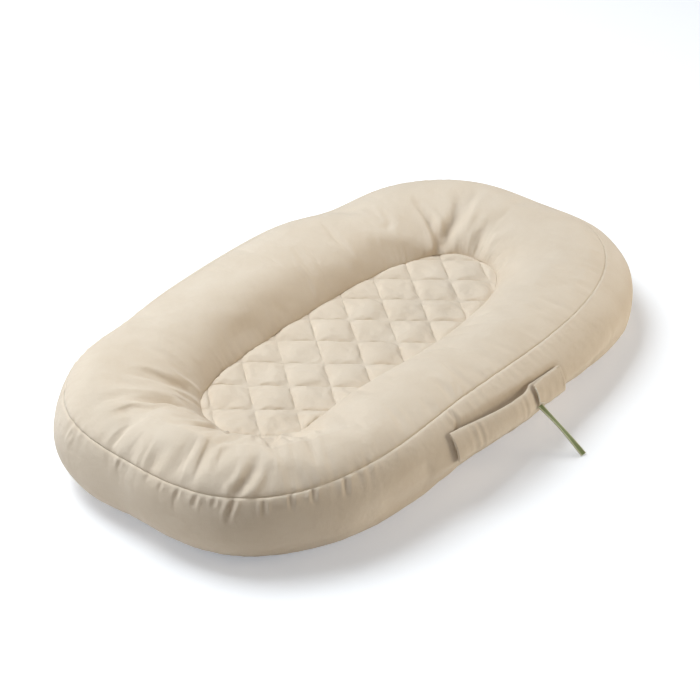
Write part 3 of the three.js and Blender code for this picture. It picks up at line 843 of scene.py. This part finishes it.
# The quilt: its puffs, how far it goes under the bolster, its thickness, and the same three numbers
# as the cover's for its settling
PUFF_HEIGHT, PUFF_EXPONENT = 5.2, 0.45
PAD_MARGIN, PAD_THICKNESS, STITCH_DEPTH = 5.0, 9.0, 0.6
PAD_SWELL_MOST, PAD_RIPPLE_MOST, PAD_PASSES = 1.2, 0.5, 8
QUILT_SPARE = 0.01


def quilt_height(x, y):
    """Height of the puffs over the stitch lines, with pinches beside them."""
    along, across = (x - QUILT_X) / DIAMOND_LENGTH, (y - SIDE_SHIFT - QUILT_Y) / DIAMOND_WIDTH
    sa, sb = (np.abs(np.sin(math.pi * turns)) for turns in (along + across, along - across))
    points = np.stack([x, y, 0 * x], -1)
    lumps = 1 + relief(points, height=0.12, size=38, seed=21)
    pinches = relief(points * (1, 0.35, 1), height=0.5, size=7, seed=22)
    pinches *= np.exp(-8 * sa * sb) * np.minimum(sa, sb) ** 0.5
    puckers = relief(points * (1, 0.5, 1), height=0.3, size=9, seed=23) * (sa * sb) ** 0.5
    return PUFF_HEIGHT * (sa * sb) ** PUFF_EXPONENT * lumps + pinches + puckers


def outward(obj, loops=()):
    """Closes loops of vertices with flat faces, and turns every face outward."""
    bm = bmesh.new()
    bm.from_mesh(obj.data)
    bm.verts.ensure_lookup_table()
    for loop in loops:
        bm.faces.new([bm.verts[k] for k in loop])
    bmesh.ops.recalc_face_normals(bm, faces=bm.faces)
    bm.to_mesh(obj.data)
    bm.free()
    return obj


def quilted_pad():
    half = QUILT_STEPS * 10
    k = np.arange(-half, half + 1)
    turns = k / QUILT_STEPS
    turns = turns - QUILT_CLOSENESS * np.sin(2 * math.pi * turns) / (2 * math.pi)
    i, j = np.meshgrid(k, k, indexing="ij")
    a, b = np.meshgrid(turns, turns, indexing="ij")
    x = QUILT_X + DIAMOND_LENGTH / 2 * (a + b)
    y = SIDE_SHIFT + QUILT_Y + DIAMOND_WIDTH / 2 * (a - b)
    plan = np.stack([x, y], -1)
    keep = inside(plan, pad_outline(PAD_MARGIN))
    quads = grid_faces(*keep.shape, False, False)[1]
    quads = quads[keep.ravel()[quads].all(axis=1)]
    used = np.isin(np.arange(keep.size), quads).reshape(keep.shape)
    count = used.sum()
    faces = (np.cumsum(used) - 1)[quads]

    from_rim = np.full(x.shape, -PAD_MARGIN)
    from_rim[used] = rim_distance(plan[used])
    height = quilt_height(x, y) * lerp(0.45, 1, smoothstep(-1, 7, from_rim) ** 0.6)
    height -= 3 * smoothstep(-1, -PAD_MARGIN, from_rim)
    top = np.stack([x, y, PAD_SEAM_HEIGHT - STITCH_DEPTH + height], -1)
    sewn = ((i % QUILT_STEPS == 0) | (j % QUILT_STEPS == 0)).astype(float)
    hold = np.where(keep & inside(plan, pad_outline(0.0)), sewn, 1.0)[used]
    moved = settle("pad_cloth", top[used], faces.tolist(), hold, np.full(count, QUILT_SPARE))
    grid = np.zeros(top.shape)
    grid[used] = moved - top[used]
    swell = smoothed(grid, PAD_PASSES)
    ripple = capped(grid - swell, PAD_RIPPLE_MOST) * used[..., None]
    top = top + capped(swell, PAD_SWELL_MOST) + ripple

    low = np.stack([x, y, PAD_SEAM_HEIGHT - PAD_THICKNESS - 0.35 * height], -1)
    edges = dict.fromkeys(edge for face in faces.tolist()
                          for edge in zip(face, face[1:] + face[:1]))
    sides = [[s + count, t + count, t, s] for s, t in edges if (t, s) not in edges]
    vertices = np.concatenate([top[used], low[used]])
    all_faces = faces.tolist() + (faces[:, ::-1] + count).tolist() + sides
    obj = outward(make_object("quilted_pad", vertices, all_faces))
    finish(obj, pad_cotton, "cover",
           "quilt_face", "quilt_batting", "quilt_backing", "insert_sling")

    within = inside(plan, pad_outline(-1.0))
    lines = [points[shown] for line in range(0, len(k), QUILT_STEPS)
             for points, shown in ((top[line], within[line]), (top[:, line], within[:, line]))
             if shown.sum() > 3]
    stitches("quilt_stitches", lines, (0, 0, 1))


SIDES = (("near", -1), ("far", 1))

# The base panels' lap under the base ring
BASE_LAP = 0.6

# The zip's opening between the base panels, and its teeth: across, along and in height
ZIP_OPENING, ZIP_CLOSING = 2.9, 0.3
TOOTH_PITCH, TOOTH_LENGTH, TEETH_ACROSS, TEETH_Z = 2.2, 0.85, (0.18, 2.75), (33.7, 35.5)
BOX_FACES = ((0, 1, 3, 2), (4, 6, 7, 5), (0, 4, 5, 1), (2, 3, 7, 6), (0, 2, 6, 4), (1, 5, 7, 3))
TAPE_HEIGHT, TAPE_GAP = 36.35, 0.2


def base_panels():
    edge = RING.firm.points(RING.base_edge)
    for name, side in SIDES:
        half = edge[(edge[:, 1] - SIDE_SHIFT) * side > 0]
        half = half[np.argsort(half[:, 0])]
        x = np.linspace(half[0, 0] + 0.1, half[-1, 0] - 0.1, 150)
        rim = np.interp(x, half[:, 0], half[:, 1]) + BASE_LAP * side
        at_zip = np.abs(x) < ZIP_LENGTH / 2 + 4
        inner = SIDE_SHIFT + side * np.where(at_zip, ZIP_OPENING, ZIP_CLOSING)
        y = inner[:, None] + (rim - inner)[:, None] * np.linspace(0, 1, 26)
        xx, z = np.broadcast_to(x[:, None], y.shape), np.full_like(y, BASE_CENTRE_HEIGHT)
        p = np.stack([xx, y, z], -1)
        from_zip, from_rim = np.abs(y - SIDE_SHIFT), np.abs(rim[:, None] - y)
        free = smoothstep(0, 25, from_zip) * smoothstep(0, 20, from_rim)
        p[..., 2] += relief(p * (0.6, 1, 1), height=0.9, size=26, seed=31) * free
        p[..., 2] -= 0.8 * bell(from_zip - 7, 1.2)
        obj = shell(grid_object(f"base_panel_{name}", p, flip=side > 0), -1.2)
        finish(obj, cover_cotton, "cover", f"base_centre_{name}")


def teeth(name, boxes, node):
    """Plain boxes as one object."""
    vertices, faces = [], []
    for ranges in boxes:
        first = len(vertices)
        vertices += itertools.product(*ranges)
        faces += [[first + k for k in face] for face in BOX_FACES]
    obj = make_object(name, vertices, faces)
    finish(obj, zip_nylon, "zip_teeth", node)


def zip_pieces():
    for name, side in SIDES:
        x = np.linspace(-TAPE_LENGTH / 2, TAPE_LENGTH / 2, 160)
        y = SIDE_SHIFT + side * np.linspace(TAPE_GAP, TAPE_GAP + TAPE_WIDTH, 8)
        xx, yy = np.meshgrid(x, y, indexing="ij")
        z = TAPE_HEIGHT + 0.15 * np.sin(xx / 17)
        tape = grid_object(f"tape_{name}", np.stack([xx, yy, z], -1), flip=side > 0)
        shell(tape, -0.7)
        finish(tape, tape_cloth, "zip_tape", f"zip_tape_{name}")
        start = 0.3 - ZIP_LENGTH / 2 + (TOOTH_PITCH / 2 if side > 0 else 0)
        across = sorted(SIDE_SHIFT + side * reach for reach in TEETH_ACROSS)
        boxes = [((x0, x0 + TOOTH_LENGTH), across, TEETH_Z)
                 for x0 in start + TOOTH_PITCH * np.arange(int(ZIP_LENGTH / TOOTH_PITCH))]
        teeth(f"teeth_{name}", boxes, f"zip_teeth_{name}")
    for node in ("zip_stop_head", "zip_stop_foot", "zip_slider", "zip_pull"):
        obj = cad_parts[node]
        obj.data.materials.clear()
        obj.data.materials.append(zip_metal)


# Cloth on the near side wall stands off it by this much
WALL_GAP = 0.35


def wall_y(x, z):
    """The near side wall's y at a place along it and a height, found by halving."""
    low, high = np.full(x.shape, math.pi), np.full(x.shape, 2 * math.pi)
    for _ in range(34):
        middle = (low + high) / 2
        at = Sections(middle)
        up, down = at.rise_roll(z, WALL_GAP), -at.drop_roll(z, WALL_GAP)
        p = at.points(np.where(z >= at.equator, up, down), WALL_GAP)
        short = p[..., 0] < x
        low, high = np.where(short, middle, low), np.where(short, high, middle)
    return p[..., 1]


def handle_top(x):
    share = (x - HEAD_PATCH_START) / (FOOT_PATCH_END - HEAD_PATCH_START)
    return lerp(HANDLE_HEAD_HEIGHT, HANDLE_FOOT_HEIGHT, share)


def band_points(xx, z, out, thickness, crumple, seed):
    """A flattened tube of doubled cloth on the wall. out is how far it stands off there."""
    crumpled = relief(np.stack([xx, 0 * xx, z * 0.3], -1), crumple, 10, seed)
    y_inner = wall_y(xx, z) - out - 0.3 * np.abs(crumpled)
    thick = thickness * lerp(0.3, 1, np.sin(math.pi * np.linspace(0, 1, z.shape[1])) ** 0.4)
    inner = np.stack([xx, y_inner, z], -1)
    outer = np.stack([xx, y_inner - thick - 0.5 * crumpled, z], -1)
    return np.concatenate([inner, outer[:, ::-1]], axis=1)


def tube_along(name, path, radius, sides):
    """A thin round tube along a path."""
    along = unit(np.gradient(path, axis=0))
    first = unit(np.cross(along, (0.3, -1.0, 0.2)))
    second = np.cross(along, first)
    turn = np.linspace(0, 2 * math.pi, sides, endpoint=False)[:, None]
    ring = first[:, None] * np.cos(turn) + second[:, None] * np.sin(turn)
    return capped_tube(name, path[:, None] + radius * ring)


def capped_tube(name, p, caps=(0, -1)):
    """A tube through loops of points, with a flat end at each loop that is named in caps."""
    loops = np.arange(p.shape[0] * p.shape[1]).reshape(p.shape[:2]).tolist()
    ends = [loops[cap] if cap else loops[cap][::-1] for cap in caps]
    return outward(grid_object(name, p, closed_v=True), ends)


# The strap's stand-off at places along it, and the place, width and depth of its upright folds
STRAP_PLACES = (-106.6, -92.0, -85.0, -69.0, -40.0, -17.0, 5.0, 16.0, 24.0, 76.6)
STRAP_STANDS = (0.0, 0.2, 0.8, 2.6, 5.8, 6.8, 5.6, 2.6, -1.6, -1.6)
STRAP_FOLDS = ((-81.0, 2.6, 0.5), (-70.0, 2.4, 0.8), (2.0, 2.6, 0.5))
BAND_ROWS, STRAP_COLUMNS, FLAP_COLUMNS = 14, 141, 53
BEND_LENGTH = 26.0


def band_grid(start, end, columns):
    x = np.linspace(start, end, columns)
    return np.meshgrid(x, np.linspace(0, 1, BAND_ROWS + 1), indexing="ij")


def strap_points():
    xx, share = band_grid(HEAD_PATCH_START, FOOT_PATCH_END, STRAP_COLUMNS)
    along = np.clip((xx - HANDLE_START) / (HANDLE_END - HANDLE_START), 0, 1)
    sag = 1.6 * np.sin(math.pi * along) * (1 - share)
    z = handle_top(xx) - HANDLE_WIDTH * (1 - share) + sag
    out = np.interp(xx, STRAP_PLACES, STRAP_STANDS)
    out = out * np.where(out > 0, lerp(0.35, 1, share), 1.0)
    p = band_points(xx, z, out, thickness=2.6, crumple=0.2, seed=41)
    for place, width, depth in STRAP_FOLDS:
        r = np.abs(xx[:, :1] - place) / width
        p[:, BAND_ROWS + 1:, 1] -= depth * valley(r, beside=0.5, width=0.8)
    return p


def handle_pieces():
    whole = strap_points()
    middle = len(whole) // 2
    for end, p, cap, root, bend in (
            ("head", whole[:middle + 1], 0, HANDLE_START, BEND_LENGTH),
            ("foot", whole[middle:], -1, HANDLE_END, -BEND_LENGTH)):
        obj = capped_tube(f"handle_{end}_half", p, (cap,))
        obj.data.materials.append(cover_cotton)
        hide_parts("handle_strap", f"handle_patch_{end}")
        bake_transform(obj)

    # The patch's loose edge stands proud of the strap's end, and its lower corner is rounded off
    xx, share = band_grid(HANDLE_END + PATCH_GAP, FOOT_PATCH_END, FLAP_COLUMNS)
    from_edge = xx - xx[0, 0]
    drop = lerp(20, HANDLE_WIDTH - 0.5, smoothstep(-2, 20, from_edge))
    z = handle_top(xx) + 1 - drop * (1 - share)
    proud = 1.4 + 2.6 * np.exp(-from_edge / 7) + smoothstep(36, 10, from_edge) * share
    p = band_points(xx, z, proud, thickness=1.2, crumple=0.4, seed=45)
    flap = capped_tube("handle_foot_patch", p)
    finish(flap, cover_cotton, "cover", "handle_patch_foot")

    # A narrow turned hem along the patch's loose edge and round its lower corner
    outer = p[:, BAND_ROWS + 1:]
    path = np.concatenate([outer[0, 1:-1], outer[1:12, -2]]) + (-0.2, -0.5, 0.0)
    hem = tube_along("patch_hem", path, radius=0.75, sides=8)
    # Its paler cloth is a painted highlight where the folded edge catches the light
    finish(hem, hem_painted_highlight, "cover", "handle_patch_foot")

    x = np.full(20, FOOT_PATCH_END - 3.5)
    z = handle_top(x) - np.linspace(2, 24, len(x))
    line = np.stack([x, wall_y(x, z) - 2.75, z], -1)
    stitches("patch_stitches", [line], (0, -1, 0), pitch=3.0, length=2.2, radius=0.3)


# The ribbon: where its root lies from the tab's, its half-width at the root and at the tip, its
# selvedges' width, how far it bows, and its twist in radians
RIBBON_SHIFT = (-8.5, -0.6, -6.5)
RIBBON_HALF_ROOT, RIBBON_HALF_TIP, SELVEDGE = 3.7, 3.5, 1.25
RIBBON_BOW, RIBBON_TWIST = 1.6, 0.3


def side_ribbon():
    """A folded ribbon with pale selvedges, which hangs out and down to the floor."""
    root, tip = np.array(TAB_ROOT) + RIBBON_SHIFT, np.array(TAB_TIP)
    t = np.linspace(0, 1, 61)[:, None]
    side = np.array([1.0, 0, 0])
    out = unit(np.cross(side, unit(tip - root)))
    path = root + (tip - root) * t + out * RIBBON_BOW * np.sin(math.pi * t) * np.sign(out[2])
    twist = RIBBON_TWIST * np.sin(math.pi * t * 1.3)
    sides = np.cos(twist) * side + np.sin(twist) * out
    outs = np.cos(twist) * out - np.sin(twist) * side
    half = lerp(RIBBON_HALF_ROOT, RIBBON_HALF_TIP, t)
    green = half - SELVEDGE
    for name, low, high, material, count, thick in (
            ("ribbon", -green, green, ribbon_green, 9, 0.45),
            ("ribbon_edge_head", -half, -green, ribbon_pale, 4, 0.6),
            ("ribbon_edge_foot", green, half, ribbon_pale, 4, 0.6)):
        offsets = lerp(low, high, np.linspace(0, 1, count))
        middle = path[:, None] + sides[:, None] * offsets[..., None]
        top, bottom = (middle + outs[:, None] * way * thick for way in (1, -1))
        loops = np.concatenate([top, bottom[:, ::-1]], axis=1)
        loops[..., 2] = np.maximum(loops[..., 2], 0.2)
        finish(capped_tube(name, loops), material, "tab", "side_tab", body="tab")


# The floor's colour and its glow, which only the camera sees, the world's light, and the place,
# power, size and colour of each lamp
FLOOR_COLOUR, GLOW_COLOUR, FLOOR_GLOW = (0.89, 0.875, 0.86), (0.91, 1.0, 1.12), 0.31
WORLD_COLOUR, WORLD_STRENGTH = (1.0, 0.80, 0.57), 0.12
COOL, WARM = (0.86, 0.93, 1.0), (1.0, 0.93, 0.80)
LIGHTS = {
    "key": ((-0.3, 1.0, 2.05), 59, 1.5, COOL),
    "left_softbox": ((-1.45, 1.45, 0.8), 6, 1.2, COOL),
    "right_softbox": ((1.4, -1.7, 0.35), 24, 0.9, WARM),
}

# The camera, and its lens in pixels of a picture of this width
CAMERA_PLACE, CAMERA_TARGET = (-1.36772, -1.129426, 1.26514), (0.037, 0.070924, 0)
FOCAL_PIXELS, PICTURE_WIDTH = 1934.4, 700


def stage():
    bpy.ops.mesh.primitive_plane_add(size=12, location=(0, 0, 0))
    floor = bpy.context.object
    floor.name = "floor"
    material, tree, shader = new_material("floor_paper")
    tree.feed(shader, {"Base Color": (*FLOOR_COLOUR, 1), "Roughness": 0.9,
                       "Specular IOR Level": 0.0})
    strength = tree.math("MULTIPLY", tree.camera_rays(), FLOOR_GLOW)
    glow = tree.add("Emission", {"Color": (*GLOW_COLOUR, 1), "Strength": strength})
    both = tree.add("AddShader", {0: shader.outputs[0], 1: glow.outputs[0]})
    tree.feed(tree.nodes["Material Output"], {"Surface": both.outputs[0]})
    floor.data.materials.append(material)


def placed(data, place, target):
    """An object for a lamp or a camera, in its place and facing its target."""
    obj = bpy.data.objects.new(data.name, data)
    bpy.context.scene.collection.objects.link(obj)
    obj.location = place
    obj.rotation_euler = (Vector(target) - Vector(place)).to_track_quat("-Z", "Y").to_euler()
    return obj


def lights_and_camera():
    world = bpy.data.worlds.new("studio")
    bpy.context.scene.world = world
    tree = Tree(world)
    lit = tree.feed(tree.nodes["Background"],
                    {"Color": (*WORLD_COLOUR, 1), "Strength": WORLD_STRENGTH})
    white = tree.add("Background", {"Color": (1, 1, 1, 1)})
    mix = tree.add("MixShader", {0: tree.camera_rays(), 1: lit.outputs[0], 2: white.outputs[0]})
    tree.feed(tree.nodes["World Output"], {"Surface": mix.outputs[0]})
    for name, (place, power, size, colour) in LIGHTS.items():
        light = bpy.data.lights.new(name, "AREA")
        light.energy, light.size, light.color = power, size, colour
        placed(light, place, (0, 0.02, 0.03))

    camera = bpy.data.cameras.new("camera")
    camera.sensor_width = 36
    camera.lens = camera.sensor_width * FOCAL_PIXELS / PICTURE_WIDTH
    camera.clip_end = 30
    bpy.context.scene.camera = placed(camera, CAMERA_PLACE, CAMERA_TARGET)
    bpy.context.scene.view_settings.view_transform = "Standard"


stage()
lights_and_camera()
bolster_pieces()
quilted_pad()
base_panels()
zip_pieces()
handle_pieces()
side_ribbon()

bpy.context.view_layer.update()
